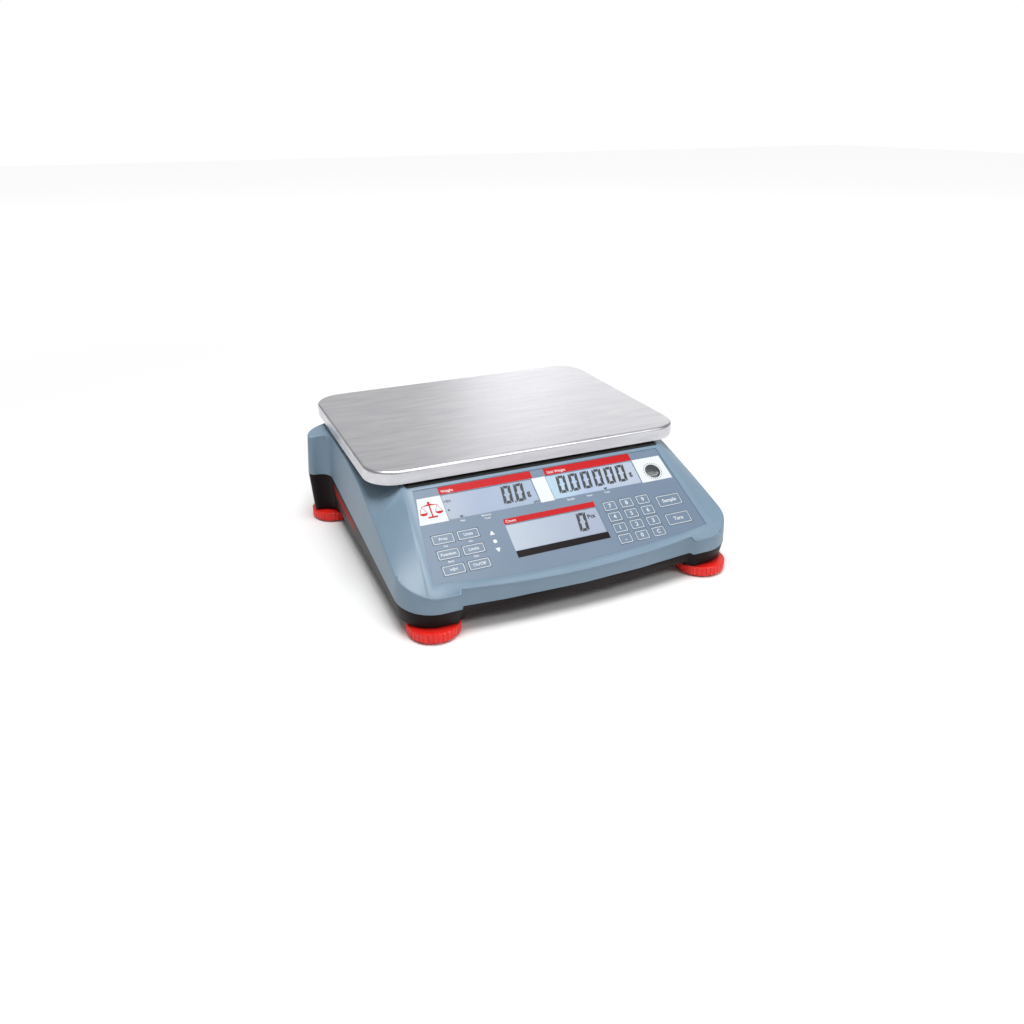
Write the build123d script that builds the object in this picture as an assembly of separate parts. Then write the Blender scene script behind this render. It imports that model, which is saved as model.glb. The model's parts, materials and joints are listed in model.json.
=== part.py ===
# Compact counting scale: a stainless pan on a load cell in a two-part moulded case, with a sloping
# keypad and display panel in front and four levelling feet.
# Millimetres, +Z up, the panel faces -Y.  Origin: centre of the footprint, on the table.
from build123d import *
import math
import os

os.makedirs("parts", exist_ok=True)

# Weighing pan
pan_width = 300.0
pan_depth = 226.0
pan_corner = 27.0
pan_sheet = 1.5
pan_skirt = 11.8
pan_edge_round = 2.6
pan_top_z = 107.4
pan_center_y = 49.0

# Case outline in plan, at the line where the two halves meet
case_half_width = 153.5
front_block_y = -156.5
front_step_x = 105.5
front_step_run = 2.0
front_step_y = -152.5
front_bow_y = -158.6
front_corner_radius = 31.0
leg_bulge = 19.0
leg_front_y = 94.0
leg_concave_radius = 12.0
leg_convex_radius = 6.0
rear_corner_radius = 30.5
rear_bow_y = 138.0

# Case heights, draft and walls
case_wall = 2.8
seat_gap = 0.2
base_bottom_z = 14.0
foot_block_z = 10.5
parting_front_z = 23.8
parting_slope = 0.103
draft_top_z = 100.0
draft_up = 4.0
draft_down = 2.2
shoulder_front_z = 37.7
shoulder_slope = 0.33
shoulder_rear_z = 89.5
shoulder_blend = 45.0

# Sloping panel
panel_mid_y = -108.6
panel_mid_z = 67.3
panel_angle = 32.4
crest_y = -69.0
crease_top_x = 124.5
crease_front_x = 133.0
bed_depth = 1.0
film_thick = 0.5
film_gap = 0.2
film_top_half = 117.0
film_low_half = 126.3
film_top_v = 44.5
film_low_v = -42.5
film_bow_v = -51.0

# Display windows on the panel: u centre, v centre, width, height
weight_window = (-54.4, 23.9, 82.0, 24.6)
unit_window = (43.7, 23.9, 86.4, 24.6)
count_window = (-9.3, -16.2, 85.0, 25.4)
lens_gap = 0.15
lcd_thick = 2.8
backlight_thick = 5.0

# Keys
left_key = (18.2, 8.6)
digit_key = (12.2, 8.9)
wide_key = (23.6, 11.4)
key_gap = 0.35
key_travel = 0.3
key_thick = 0.6
key_post_radius = 1.6
switch_side = 6.0
switch_body = 3.4
switch_button_radius = 1.7
switch_button = 0.9
switch_gap = 0.15
board_thick = 1.6
board_depth = 9.0

# Level vial
vial_u = 102.6
vial_v = 21.1
vial_window_radius = 7.2
vial_well_radius = 9.5
vial_radius = 8.0
vial_wall = 1.4
vial_height = 9.0
vial_depth = 9.5
vial_glass = 1.0

# Levelling feet
front_foot_x = 126.4
front_foot_y = -140.0
rear_foot_x = 150.2
rear_foot_y = 104.0
foot_radius = 22.0
foot_wheel_top_z = 10.0
foot_pad_height = 1.6
foot_pad_inset = 4.0
foot_pad_lip = 0.9
stud_radius = 4.0
stud_fit = 0.05
stud_top_z = 27.0
insert_radius = 6.5
insert_bottom_z = 14.6
boss_radius = 9.5
flute_count = 36
flute_radius = 0.9

# Weighing mechanism
platform_width = 230.0
platform_depth = 150.0
platform_thick = 5.0
platform_corner = 12.0
rib_width = 16.0
cushion_radius = 7.0
cushion_height = 3.0
cushion_inset = 14.0
locator_x = (-70.0, 70.0)
locator_radius = 5.0
locator_height = 6.0
locator_fit = 0.4
cell_length = 130.0
cell_width = 30.0
cell_height = 22.0
cell_bottom_z = 50.0
cell_bore_radius = 7.5
cell_bore_x = 12.0
cell_end = 20.0
cell_screw_radius = 3.0
cell_screw_fit = 0.2
cell_screw_pitch = 15.0
cap_radius = 5.0
cap_height = 4.0
hub_radius = 20.0
live_spacer_height = 10.0
well_gap = 3.0
stop_radius = 3.0
stop_gap = 0.5
stop_inset_x = 17.0
stop_inset_y = 17.0
stop_depth = 8.0

# Screws that close the case
screw_core = 1.9
screw_hole = 2.3
screw_sink = 4.2
screw_head = 2.6
screw_boss = 5.2
screw_bite = 10.0
case_screw_spots = [(-140.0, -105.0), (140.0, -105.0), (-140.0, 50.0), (140.0, 50.0), (0.0, 126.0)]

# Electronics and power
board_lift = 6.0
main_board = (90.0, 80.0)
main_board_x = 86.0
main_board_y = 56.0
battery_size = (70.0, 47.0, 24.0)
battery_x = -85.0
battery_y = -45.0
hatch_margin = 6.0
hatch_gap = 0.4
hatch_screw_inset = 3.4
hatch_screw_radius = 1.5
hatch_head_radius = 2.2
hatch_head_height = 1.3
jack_x = 104.0
jack_radius = 5.5
jack_bore = 3.2
jack_bore_depth = 9.5
jack_pin = 1.0
port_x = 62.0
port_width = 17.0
port_height = 9.0
port_spacing = 24.99
port_flange = 30.8
jackscrew_radius = 2.4
jackscrew_bore = 1.3
socket_z = 33.0


def panel_spot(u, v, w=0.0):
    """Place on the sloping panel: u to the right, v up the slope, w out of its face."""
    face = Plane((0, panel_mid_y, panel_mid_z), x_dir=(1, 0, 0), z_dir=(0, -math.sin(tilt), math.cos(tilt)))
    return face.location * Pos(u, v, w)


tilt = math.radians(panel_angle)
panel_slope = math.tan(tilt)


def panel_z(y):
    return panel_mid_z + panel_slope * (y - panel_mid_y)


def parting_z(y):
    return parting_front_z + parting_slope * (y - front_block_y)


base_floor_z = base_bottom_z + case_wall
deck_z = panel_z(crest_y)
platform_top_z = pan_top_z - pan_sheet - cushion_height
film_face = -bed_depth + film_thick
switch_top = -board_depth + switch_body + switch_button
cell_top_z = cell_bottom_z + cell_height
fixed_x = -(cell_length / 2 - cell_end)
live_x = cell_length / 2 - cell_end
stop_x = platform_width / 2 - stop_inset_x
stop_y = platform_depth / 2 - stop_inset_y
stop_spots = [(side_x * stop_x, pan_center_y + side_y * stop_y) for side_x in (-1, 1) for side_y in (-1, 1)]
hatch_screw_x = [battery_x + side * (battery_size[0] / 2 + hatch_screw_inset) for side in (-1, 1)]
foot_spots = {
    "front_left": (-front_foot_x, front_foot_y),
    "front_right": (front_foot_x, front_foot_y),
    "rear_left": (-rear_foot_x, rear_foot_y),
    "rear_right": (rear_foot_x, rear_foot_y),
}


def case_outline(inset, height):
    """Closed face of the case outline, moved inwards by inset, lying on z = height(y)."""
    def at(x, y):
        return (x, y, height(y))

    def arc(center_x, center_y, radius, start, end):
        turns = [math.radians(start + (end - start) * part) for part in (0, 0.5, 1)]
        return [(center_x + radius * math.cos(t), center_y + radius * math.sin(t)) for t in turns]

    half = case_half_width - inset
    corner_x = case_half_width - front_corner_radius
    corner_y = front_block_y + front_corner_radius
    corner = arc(corner_x, corner_y, front_corner_radius - inset, -90, 0)
    concave_x = case_half_width + leg_concave_radius
    concave_y = leg_front_y - leg_concave_radius
    concave = arc(concave_x, concave_y, leg_concave_radius + inset, 180, 90)
    convex_x = case_half_width + leg_bulge - leg_convex_radius
    convex_y = leg_front_y + leg_convex_radius
    convex = arc(convex_x, convex_y, leg_convex_radius - inset, -90, 0)
    rear_x = case_half_width + leg_bulge - rear_corner_radius
    rear = arc(rear_x, convex_y, rear_corner_radius - inset, 0, 90)
    step = (front_step_x + inset, front_step_y + inset)
    block = (front_step_x + front_step_run + inset, front_block_y + inset)
    pieces = []
    for side in (1, -1):
        def line(start, end):
            pieces.append(Line(at(side * start[0], start[1]), at(side * end[0], end[1])))

        def bend(points):
            pieces.append(ThreePointArc(*[at(side * x, y) for x, y in points]))

        line(step, block)
        line(block, corner[0])
        bend(corner)
        line((half, corner_y), (half, concave_y))
        bend(concave)
        line(concave[2], convex[0])
        bend(convex)
        bend(rear)
    front_left = at(-step[0], step[1])
    front_right = at(step[0], step[1])
    pieces.append(ThreePointArc(front_left, at(0, front_bow_y + inset), front_right))
    rear_left = at(-rear_x, rear[2][1])
    rear_right = at(rear_x, rear[2][1])
    pieces.append(ThreePointArc(rear_left, at(0, rear_bow_y - inset), rear_right))
    return Face(Wire(pieces))


def shoulder_z(y):
    """Height of the case's side edge: a straight rise that blends into a level rear."""
    knee = front_block_y + (shoulder_rear_z - shoulder_front_z) / shoulder_slope
    start = knee - shoulder_blend
    if y <= start:
        return shoulder_front_z + shoulder_slope * (y - front_block_y)
    along = min(y - start, 2 * shoulder_blend)
    rise = shoulder_slope * along - shoulder_slope * along ** 2 / (4 * shoulder_blend)
    return shoulder_front_z + shoulder_slope * (start - front_block_y) + rise


def crease_x(y):
    front_y = front_block_y + 9.0
    return crease_top_x + (crease_front_x - crease_top_x) * (crest_y - y) / (crest_y - front_y)


def roof_section(y, drop):
    """Cross-section of everything under the case's roof at one station along y."""
    on_panel = y <= crest_y
    crown = panel_z(y) if on_panel else panel_z(crest_y)
    inner_x = crease_x(y) if on_panel else crease_top_x
    side = shoulder_z(y)
    far_x = case_half_width + leg_bulge + 8.0
    far_z = crown + (side - crown) * (far_x - inner_x) / (case_half_width - inner_x)
    low = -60.0
    right = [(far_x, low), (far_x, far_z), (inner_x, crown)]
    points = [(-far_x, low)] + right + [(-inner_x, crown), (-far_x, far_z)]
    return Face(Wire.make_polygon([(x, y, z - drop) for x, z in points], close=True))


def roof_body(drop):
    """The space under the roof, lowered by drop, as ruled spans between stations."""
    knee = front_block_y + (shoulder_rear_z - shoulder_front_z) / shoulder_slope
    stations = [front_block_y - 14.0, crest_y]
    steps = 6
    first = crest_y
    last = knee + shoulder_blend
    stations += [first + (last - first) * n / steps for n in range(1, steps + 1)]
    stations.append(rear_bow_y + 10.0)
    return Solid.make_loft([roof_section(y, drop).outer_wire() for y in stations], ruled=True)


def case_upper(inset, drop):
    low = case_outline(inset, parting_z)
    high = case_outline(inset + draft_up, lambda y: draft_top_z)
    walls = Solid.make_loft([low.outer_wire(), high.outer_wire()], ruled=True)
    return walls & roof_body(drop)


def case_lower(inset, floor_z):
    share = (floor_z - base_bottom_z) / (parting_front_z - base_bottom_z)
    low = case_outline(inset + draft_down * (1 - share), lambda y: floor_z)
    high = case_outline(inset, parting_z)
    return Solid.make_loft([low.outer_wire(), high.outer_wire()], ruled=True)


def film_outline(grow):
    """Outline of the panel film: wider at the foot, with a bowed lower edge."""
    top = film_top_v + grow
    wide = film_top_half + grow
    low = film_low_half + grow
    corner = (low, film_low_v - grow)
    sides = Polyline((-corner[0], corner[1]), (-wide, top), (wide, top), corner)
    bow = ThreePointArc(corner, (0, film_bow_v - grow), (-corner[0], corner[1]))
    return Face(Wire([*sides.edges(), bow]))


def panel_slab(outline, bottom, height):
    return panel_spot(0, 0, bottom) * extrude(outline, height, dir=(0, 0, 1))


def panel_box(spot, width, height, bottom, top):
    block = Box(width, height, top - bottom)
    return panel_spot(spot[0], spot[1], (bottom + top) / 2) * block


def panel_disc(spot, radius, bottom, top):
    return panel_spot(spot[0], spot[1], (bottom + top) / 2) * Cylinder(radius, top - bottom)


def key_grid():
    """Name, centre and size of every key on the panel."""
    keys = {}
    left_names = (("print", "units"), ("function", "limits"), ("zero", "power"))
    for row, names in enumerate(left_names):
        for column, name in enumerate(names):
            keys["key_" + name] = ((-106.3 + 21.5 * column, -4.7 - 14.3 * row), left_key)
    digit_names = (("7", "8", "9"), ("4", "5", "6"), ("1", "2", "3"), ("point", "0", "clear"))
    for row, names in enumerate(digit_names):
        for column, name in enumerate(names):
            keys["key_" + name] = ((46.3 + 16.5 * column, -5.4 - 11.25 * row), digit_key)
    keys["key_sample"] = ((103.7, -11.3), wide_key)
    keys["key_tare"] = ((103.7, -30.6), wide_key)
    return keys


windows = {"weight": weight_window, "unit_weight": unit_window, "count": count_window}


def cylinder_at(x, y, bottom, top, radius):
    return Pos(x, y, (bottom + top) / 2) * Cylinder(radius, top - bottom)


def block_at(low, high):
    size = [high[n] - low[n] for n in range(3)]
    middle = [(high[n] + low[n]) / 2 for n in range(3)]
    return Pos(*middle) * Box(*size)


def joined(parts):
    whole = parts[0]
    for part in parts[1:]:
        whole = whole + part
    return whole


def foot_bosses(bottom_z, radius):
    return [cylinder_at(x, y, bottom_z, stud_top_z + 1.0, radius) for x, y in foot_spots.values()]


def base():
    """Black lower half: tub, foot blocks, bosses and rear socket cut-outs."""
    shell = case_lower(0, base_bottom_z)
    floor_z = base_floor_z
    hollow = case_lower(case_wall, floor_z)
    tub = shell - hollow
    blocks = []
    low = case_outline(draft_down, lambda y: foot_block_z)
    full = extrude(low, base_bottom_z + 0.4 - foot_block_z, dir=(0, 0, 1))
    front_cut = block_at((front_step_x - 2.0, front_block_y - 5, 0), (200, front_foot_y + foot_radius, 40))
    rear_cut = block_at((case_half_width - 4.0, rear_foot_y - foot_radius, 0), (200, rear_bow_y + 5, 40))
    for side in (False, True):
        for cut in (front_cut, rear_cut):
            blocks.append(full & (mirror(cut, Plane.YZ) if side else cut))
    tub = joined([tub] + blocks + foot_bosses(foot_block_z, boss_radius))
    studs = [cylinder_at(x, y, 0, 60, stud_radius + 0.6) for x, y in foot_spots.values()]
    seats = [cylinder_at(x, y, insert_bottom_z, 60, insert_radius) for x, y in foot_spots.values()]
    posts = [cylinder_at(x, y, floor_z - 0.2, parting_z(y), screw_boss) for x, y in case_screw_spots]
    tub = joined([tub] + posts) - hatch_opening()
    tub = joined([tub] + hatch_tabs())
    holes = [cylinder_at(x, y, 0, 80, screw_hole) for x, y in case_screw_spots]
    sinks = [cylinder_at(x, y, 0, base_bottom_z + screw_head + 0.6, screw_sink) for x, y in case_screw_spots]
    for tool in studs + seats + holes + sinks + rear_cutouts() + drain_slots() + hatch_pilots():
        tub = tub - tool
    return tub


def drain_slots():
    """Sound and vent slots in the floor."""
    floor = (base_bottom_z - 1, base_floor_z + 1)
    slots = []
    for n in range(5):
        x = 40.0 + 9.0 * n
        slots.append(block_at((x, -40.0, floor[0]), (x + 3.0, -10.0, floor[1])))
    return slots


def upper_housing():
    """Blue-grey upper half with the panel bed, key and window openings, and the pan well."""
    shell = case_upper(0, 0) - case_upper(case_wall, case_wall * 1.2)
    inside = case_upper(1.0, 1.0)
    bed = panel_slab(film_outline(film_gap), -bed_depth, 20.0)
    shell = shell + (panel_slab(film_outline(4.0), -bed_depth - case_wall, case_wall) & inside)
    shell = shell - bed
    openings = []
    for spot, size in key_grid().values():
        openings.append(panel_box(spot, size[0] + 2 * key_gap, size[1] + 2 * key_gap, -12, 4))
    for u, v, width, height in windows.values():
        openings.append(panel_box((u, v), width + 1.0, height + 1.0, -12, 4))
    openings.append(panel_disc((vial_u, vial_v), vial_well_radius, -14, 4))
    well = cylinder_at(live_x, pan_center_y, deck_z - 12, deck_z + 12, hub_radius + well_gap)
    posts = []
    pilots = []
    for x, y in case_screw_spots:
        seat = parting_z(y)
        posts.append(cylinder_at(x, y, seat + seat_gap, deck_z, screw_boss) & inside)
        pilots.append(cylinder_at(x, y, 0, seat + screw_bite + 1.0, screw_core))
    clears = [cylinder_at(x, y, 0, stud_top_z + 2.0, boss_radius + 1.0) for x, y in foot_spots.values()]
    grip_low = deck_z - stop_depth - 2.0
    grips = [cylinder_at(x, y, grip_low, deck_z - 1.0, stop_radius + 4.0) for x, y in stop_spots]
    shell = joined([shell] + posts + grips) - well
    for tool in openings + pilots + clears + stop_holes():
        shell = shell - tool
    return shell


def stop_holes():
    return [cylinder_at(x, y, deck_z - stop_depth, 120, stop_radius) for x, y in stop_spots]


def rear_cutouts():
    jack = Pos(jack_x, rear_bow_y, socket_z) * Rot(90, 0, 0) * Cylinder(jack_radius + 0.3, 60)
    port = block_at((port_x - port_width / 2 - 0.3, rear_bow_y - 30, socket_z - port_height / 2 - 0.3),
                    (port_x + port_width / 2 + 0.3, rear_bow_y + 30, socket_z + port_height / 2 + 0.3))
    tools = [jack, port]
    for side in (-1, 1):
        x = port_x + side * port_spacing / 2
        tools.append(Pos(x, rear_bow_y, socket_z) * Rot(90, 0, 0) * Cylinder(jackscrew_radius + 0.3, 60))
    return tools


def hatch_opening():
    half_x = battery_size[0] / 2 + hatch_margin
    half_y = battery_size[1] / 2 + hatch_margin
    return block_at((battery_x - half_x, battery_y - half_y, 0),
                    (battery_x + half_x, battery_y + half_y, base_floor_z))


def hatch_tabs():
    """Tabs on the base floor that the cover's screws bite into."""
    inner = battery_size[0] / 2 + 0.6
    tabs = []
    for side in (-1, 1):
        x = sorted((battery_x + side * inner, battery_x + side * (inner + 11.0)))
        tabs.append(block_at((x[0], battery_y - 6, base_floor_z), (x[1], battery_y + 6, base_floor_z + 7)))
    return tabs


def hatch_pilots():
    return [cylinder_at(x, battery_y, 0, 40, hatch_screw_radius) for x in hatch_screw_x]


def battery_cover():
    half_x = battery_size[0] / 2 + hatch_margin - hatch_gap
    half_y = battery_size[1] / 2 + hatch_margin - hatch_gap
    lid = block_at((battery_x - half_x, battery_y - half_y, base_bottom_z),
                   (battery_x + half_x, battery_y + half_y, base_floor_z))
    lid = fillet(lid.edges().filter_by(Axis.Z), 3.0)
    for x in hatch_screw_x:
        lid = lid - cylinder_at(x, battery_y, 0, 30, hatch_screw_radius + 0.2)
        lid = lid - cylinder_at(x, battery_y, 0, base_bottom_z + hatch_head_height, hatch_head_radius + 0.2)
    return lid


def battery_cover_screws():
    screws = []
    for x in hatch_screw_x:
        low = base_bottom_z
        head = cylinder_at(x, battery_y, low, low + hatch_head_height, hatch_head_radius)
        shank = cylinder_at(x, battery_y, low, low + 9.0, hatch_screw_radius)
        slot = block_at((x - 1.5, battery_y - 0.4, low - 1), (x + 1.5, battery_y + 0.4, low + 0.6))
        screws.append(head + shank - slot)
    return Compound(children=screws)


def case_screws():
    screws = []
    for x, y in case_screw_spots:
        foot = base_bottom_z + 0.6
        head = cylinder_at(x, y, foot, foot + screw_head, screw_sink - 0.4)
        shank = cylinder_at(x, y, foot, parting_z(y) + screw_bite, screw_core)
        socket = cylinder_at(x, y, foot - 1, foot + 1.4, 1.5)
        screws.append(head + shank - socket)
    return Compound(children=screws)


def foot_inserts():
    """Threaded brass inserts in the foot bosses."""
    inserts = []
    for x, y in foot_spots.values():
        sleeve = cylinder_at(x, y, insert_bottom_z, stud_top_z + 0.6, insert_radius)
        inserts.append(sleeve - cylinder_at(x, y, 0, 60, stud_radius + stud_fit))
    return Compound(children=inserts)


def foot_wheel(x, y):
    """Fluted wheel moulded on its threaded stud, with a neck that turns in the glide pad."""
    bottom = foot_pad_height
    wheel = cylinder_at(x, y, bottom, foot_wheel_top_z, foot_radius)
    wheel = chamfer(wheel.edges().filter_by(GeomType.CIRCLE), 0.8)
    for n in range(flute_count):
        turn = 2 * math.pi * n / flute_count
        spot = (x + foot_radius * math.cos(turn), y + foot_radius * math.sin(turn))
        wheel = wheel - cylinder_at(spot[0], spot[1], bottom - 1, foot_wheel_top_z + 1, flute_radius)
    stud = cylinder_at(x, y, foot_wheel_top_z - 0.5, stud_top_z, stud_radius)
    neck = cylinder_at(x, y, foot_pad_lip - 0.4, bottom + 0.5, 5.0)
    return wheel + stud + neck


def foot_pad(x, y):
    """Glide pad that stands still on the table while its wheel turns above it."""
    pad = cylinder_at(x, y, 0, foot_pad_height - 0.15, foot_radius - foot_pad_inset)
    pad = chamfer(pad.edges().group_by(Axis.Z)[0], 0.4)
    return pad - cylinder_at(x, y, foot_pad_lip - 0.5, 10, 5.05)


def weighing_pan():
    """Pressed stainless pan with a rounded rim, a straight skirt and two locating studs."""
    outer = tray(pan_width, pan_depth, pan_corner, pan_top_z - pan_skirt, pan_top_z, pan_edge_round)
    inner = tray(pan_width - 2 * pan_sheet, pan_depth - 2 * pan_sheet, pan_corner - pan_sheet,
                 pan_top_z - pan_skirt - 1, pan_top_z - pan_sheet, pan_edge_round - pan_sheet)
    top = pan_top_z - pan_sheet
    low = top - locator_height
    studs = [cylinder_at(x, pan_center_y, low, top + 0.2, locator_radius) for x in locator_x]
    return joined([outer - inner] + studs)


def tray(width, depth, corner, bottom, top, edge):
    blank = Pos(0, pan_center_y, bottom) * extrude(RectangleRounded(width, depth, corner), top - bottom)
    return fillet(blank.edges().group_by(Axis.Z)[-1], edge)


def pan_platform():
    """Die-cast frame on the load cell: rim, cross ribs and hub."""
    low = platform_top_z - platform_thick
    flat = RectangleRounded(platform_width, platform_depth, platform_corner)
    plate = Pos(0, pan_center_y, low) * extrude(flat, platform_thick)
    hub = cylinder_at(live_x, pan_center_y, cell_top_z + live_spacer_height, low + 0.5, hub_radius)
    bay_x = platform_width / 4 - 0.75 * rib_width
    bay_y = platform_depth / 4 - 0.75 * rib_width
    for side_x in (-1, 1):
        for side_y in (-1, 1):
            bay = RectangleRounded(2 * bay_x, 2 * bay_y, 6)
            x = side_x * (bay_x + rib_width / 2)
            y = pan_center_y + side_y * (bay_y + rib_width / 2)
            plate = plate - Pos(x, y, low - 1) * extrude(bay, platform_thick + 2)
    plate = plate + hub + cylinder_at(live_x, pan_center_y, low, platform_top_z, hub_radius)
    for x in locator_x:
        plate = plate + cylinder_at(x, pan_center_y, low, platform_top_z, locator_radius + 5.0)
        seat = locator_radius + locator_fit
        plate = plate - cylinder_at(x, pan_center_y, low - 1, platform_top_z + 1, seat)
    for x, y in cell_screw_spots(live_x):
        plate = plate - cylinder_at(x, y, 0, 120, cell_screw_radius + cell_screw_fit)
        plate = plate - cylinder_at(x, y, platform_top_z - cap_height, 120, cap_radius + 0.4)
    return plate


def pan_cushions():
    """Rubber pads on the platform corners that the pan rests on."""
    pads = []
    for side_x in (-1, 1):
        for side_y in (-1, 1):
            x = side_x * (platform_width / 2 - cushion_inset)
            y = pan_center_y + side_y * (platform_depth / 2 - cushion_inset)
            pads.append(cylinder_at(x, y, platform_top_z, platform_top_z + cushion_height, cushion_radius))
    return Compound(children=pads)


def cell_screw_spots(x):
    return [(x + side * cell_screw_pitch / 2, pan_center_y) for side in (-1, 1)]


def cell_screw_holes(x, bottom):
    radius = cell_screw_radius + cell_screw_fit
    return [cylinder_at(spot_x, y, bottom, 120, radius) for spot_x, y in cell_screw_spots(x)]


def load_cell():
    """Aluminium single-point beam with its pair of joined bores."""
    middle = cell_bottom_z + cell_height / 2
    beam = Pos(0, pan_center_y, middle) * Box(cell_length, cell_width, cell_height)
    bore = Rot(90, 0, 0) * Cylinder(cell_bore_radius, cell_width + 2)
    for x in (-cell_bore_x, cell_bore_x):
        beam = beam - Pos(x, pan_center_y, middle) * bore
    beam = beam - Pos(0, pan_center_y, middle) * Box(2 * cell_bore_x, cell_width + 2, cell_bore_radius)
    for hole in cell_screw_holes(fixed_x, 0) + cell_screw_holes(live_x, 0):
        beam = beam - hole
    return beam


def cell_mount():
    """Cast bracket that carries the fixed end of the load cell on the base floor."""
    floor_z = base_floor_z
    half = cell_width / 2
    leg = block_at((fixed_x - cell_end + 3, pan_center_y - half, floor_z),
                   (fixed_x + cell_end - 3, pan_center_y + half, cell_bottom_z))
    sole = block_at((fixed_x - 30, pan_center_y - 34, floor_z),
                    (fixed_x + 30, pan_center_y + 34, floor_z + 5))
    body = leg + fillet(sole.edges().filter_by(Axis.Z), 5)
    for hole in cell_screw_holes(fixed_x, cell_bottom_z - 16):
        body = body - hole
    return body


def live_spacer():
    """Square spacer between the live end of the cell and the platform hub."""
    half_x = cell_end - 5
    half_y = cell_width / 2 - 1
    block = block_at((live_x - half_x, pan_center_y - half_y, cell_top_z),
                     (live_x + half_x, pan_center_y + half_y, cell_top_z + live_spacer_height))
    for hole in cell_screw_holes(live_x, 0):
        block = block - hole
    return block


def cap_screw(x, y, bottom, seat, head_height):
    head = cylinder_at(x, y, seat, seat + head_height, cap_radius)
    shank = cylinder_at(x, y, bottom, seat + 0.5, cell_screw_radius)
    socket = cylinder_at(x, y, seat + head_height / 2, seat + head_height + 1, cap_radius / 2)
    return head + shank - socket


def cell_screws():
    """Cap screws at both ends of the load cell."""
    screws = []
    for x, y in cell_screw_spots(fixed_x):
        screws.append(cap_screw(x, y, cell_bottom_z - 14, cell_top_z, cap_height))
    for x, y in cell_screw_spots(live_x):
        screws.append(cap_screw(x, y, cell_bottom_z + 6, platform_top_z - cap_height, cap_height - 0.5))
    return Compound(children=screws)


def overload_stops():
    """Set screws in the deck under the platform corners that catch an overload."""
    top = platform_top_z - platform_thick - stop_gap
    pins = [cylinder_at(x, y, deck_z - stop_depth, top, stop_radius) for x, y in stop_spots]
    return Compound(children=pins)


def panel_film():
    """Printed overlay with openings for the keys, the displays and the level."""
    film = panel_slab(film_outline(0), -bed_depth, film_thick)
    for spot, size in key_grid().values():
        film = film - panel_box(spot, size[0] + 2 * key_gap, size[1] + 2 * key_gap, -4, 4)
    for u, v, width, height in windows.values():
        film = film - panel_box((u, v), width, height, -4, 4)
    return film - panel_disc((vial_u, vial_v), vial_window_radius, -4, 4)


def key(spot, size):
    """Flexing patch of the film with the actuator post under it."""
    top = film_face
    cap = panel_box(spot, size[0], size[1], top - key_thick, top)
    post = panel_disc(spot, key_post_radius, switch_top + switch_gap + key_travel, top - key_thick + 0.1)
    return cap + post


def tact_switches():
    switches = []
    for spot, size in key_grid().values():
        body = panel_box(spot, switch_side, switch_side, -board_depth, -board_depth + switch_body)
        button = panel_disc(spot, switch_button_radius, -board_depth + switch_body - 0.1, switch_top)
        switches.append(body + button)
    return Compound(children=switches)


def keypad_board():
    board = panel_slab(film_outline(-6), -board_depth - board_thick, board_thick)
    return board - panel_disc((vial_u, vial_v), vial_well_radius + 2.5, -30, 4)


def display_lenses():
    """Clear windows of the panel, one over each display."""
    panes = []
    for u, v, width, height in windows.values():
        panes.append(panel_box((u, v), width - 2 * lens_gap, height - 2 * lens_gap, -bed_depth, film_face))
    return Compound(children=panes)


def lcd(window):
    u, v, width, height = window
    top = -bed_depth - 0.05
    return panel_box((u, v), width + 0.4, height + 0.4, top - lcd_thick, top)


def display_backlights():
    top = -bed_depth - 0.05 - lcd_thick
    lamps = [panel_box((u, v), width - 2, height - 2, top - backlight_thick, top)
             for u, v, width, height in windows.values()]
    return Compound(children=lamps)


def level_spot(height):
    return panel_spot(vial_u, vial_v, -vial_depth) * Rot(-panel_angle, 0, 0) * Pos(0, 0, height)


def level_cup():
    """Round cup that holds the level's liquid; it stays upright under the sloping panel."""
    cup = level_spot(0) * Cylinder(vial_radius, vial_height)
    return cup - level_spot(vial_wall) * Cylinder(vial_radius - vial_wall, vial_height)


def level_liquid():
    """Liquid with the hollow of its bubble under the glass."""
    height = vial_height - vial_wall - vial_glass
    middle = (vial_wall - vial_glass) / 2
    liquid = level_spot(middle) * Cylinder(vial_radius - vial_wall, height)
    return liquid - level_spot(middle + height / 2 - 0.9) * Sphere(2.2)


def level_glass():
    return level_spot((vial_height - vial_glass) / 2) * Cylinder(vial_radius - vial_wall, vial_glass)


def level_window():
    return panel_disc((vial_u, vial_v), vial_window_radius - lens_gap, -bed_depth, film_face)


def main_circuit_board():
    """Circuit board on four standoffs, with its larger components."""
    low = base_floor_z + board_lift
    half = (main_board[0] / 2, main_board[1] / 2)
    board = block_at((main_board_x - half[0], main_board_y - half[1], low),
                     (main_board_x + half[0], main_board_y + half[1], low + board_thick))
    pieces = [board]
    for side_x in (-1, 1):
        for side_y in (-1, 1):
            x = main_board_x + side_x * (half[0] - 5)
            y = main_board_y + side_y * (half[1] - 5)
            pieces.append(cylinder_at(x, y, base_floor_z, low + 0.2, 3.0))
    top = low + board_thick
    chip = block_at((main_board_x - 9, main_board_y - 9, top - 0.2),
                    (main_board_x + 9, main_board_y + 9, top + 2))
    relay = block_at((main_board_x + 20, main_board_y - 30, top - 0.2),
                     (main_board_x + 38, main_board_y - 14, top + 11))
    pieces += [chip, relay]
    for n in range(3):
        pieces.append(cylinder_at(main_board_x - 34 + 11 * n, main_board_y + 28, top - 0.2, top + 12, 4.0))
    return joined(pieces)


def battery_pack():
    low = base_floor_z
    half = (battery_size[0] / 2, battery_size[1] / 2)
    pack = block_at((battery_x - half[0], battery_y - half[1], low),
                    (battery_x + half[0], battery_y + half[1], low + battery_size[2]))
    return fillet(pack.edges().filter_by(Axis.X), 6.0)


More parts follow.
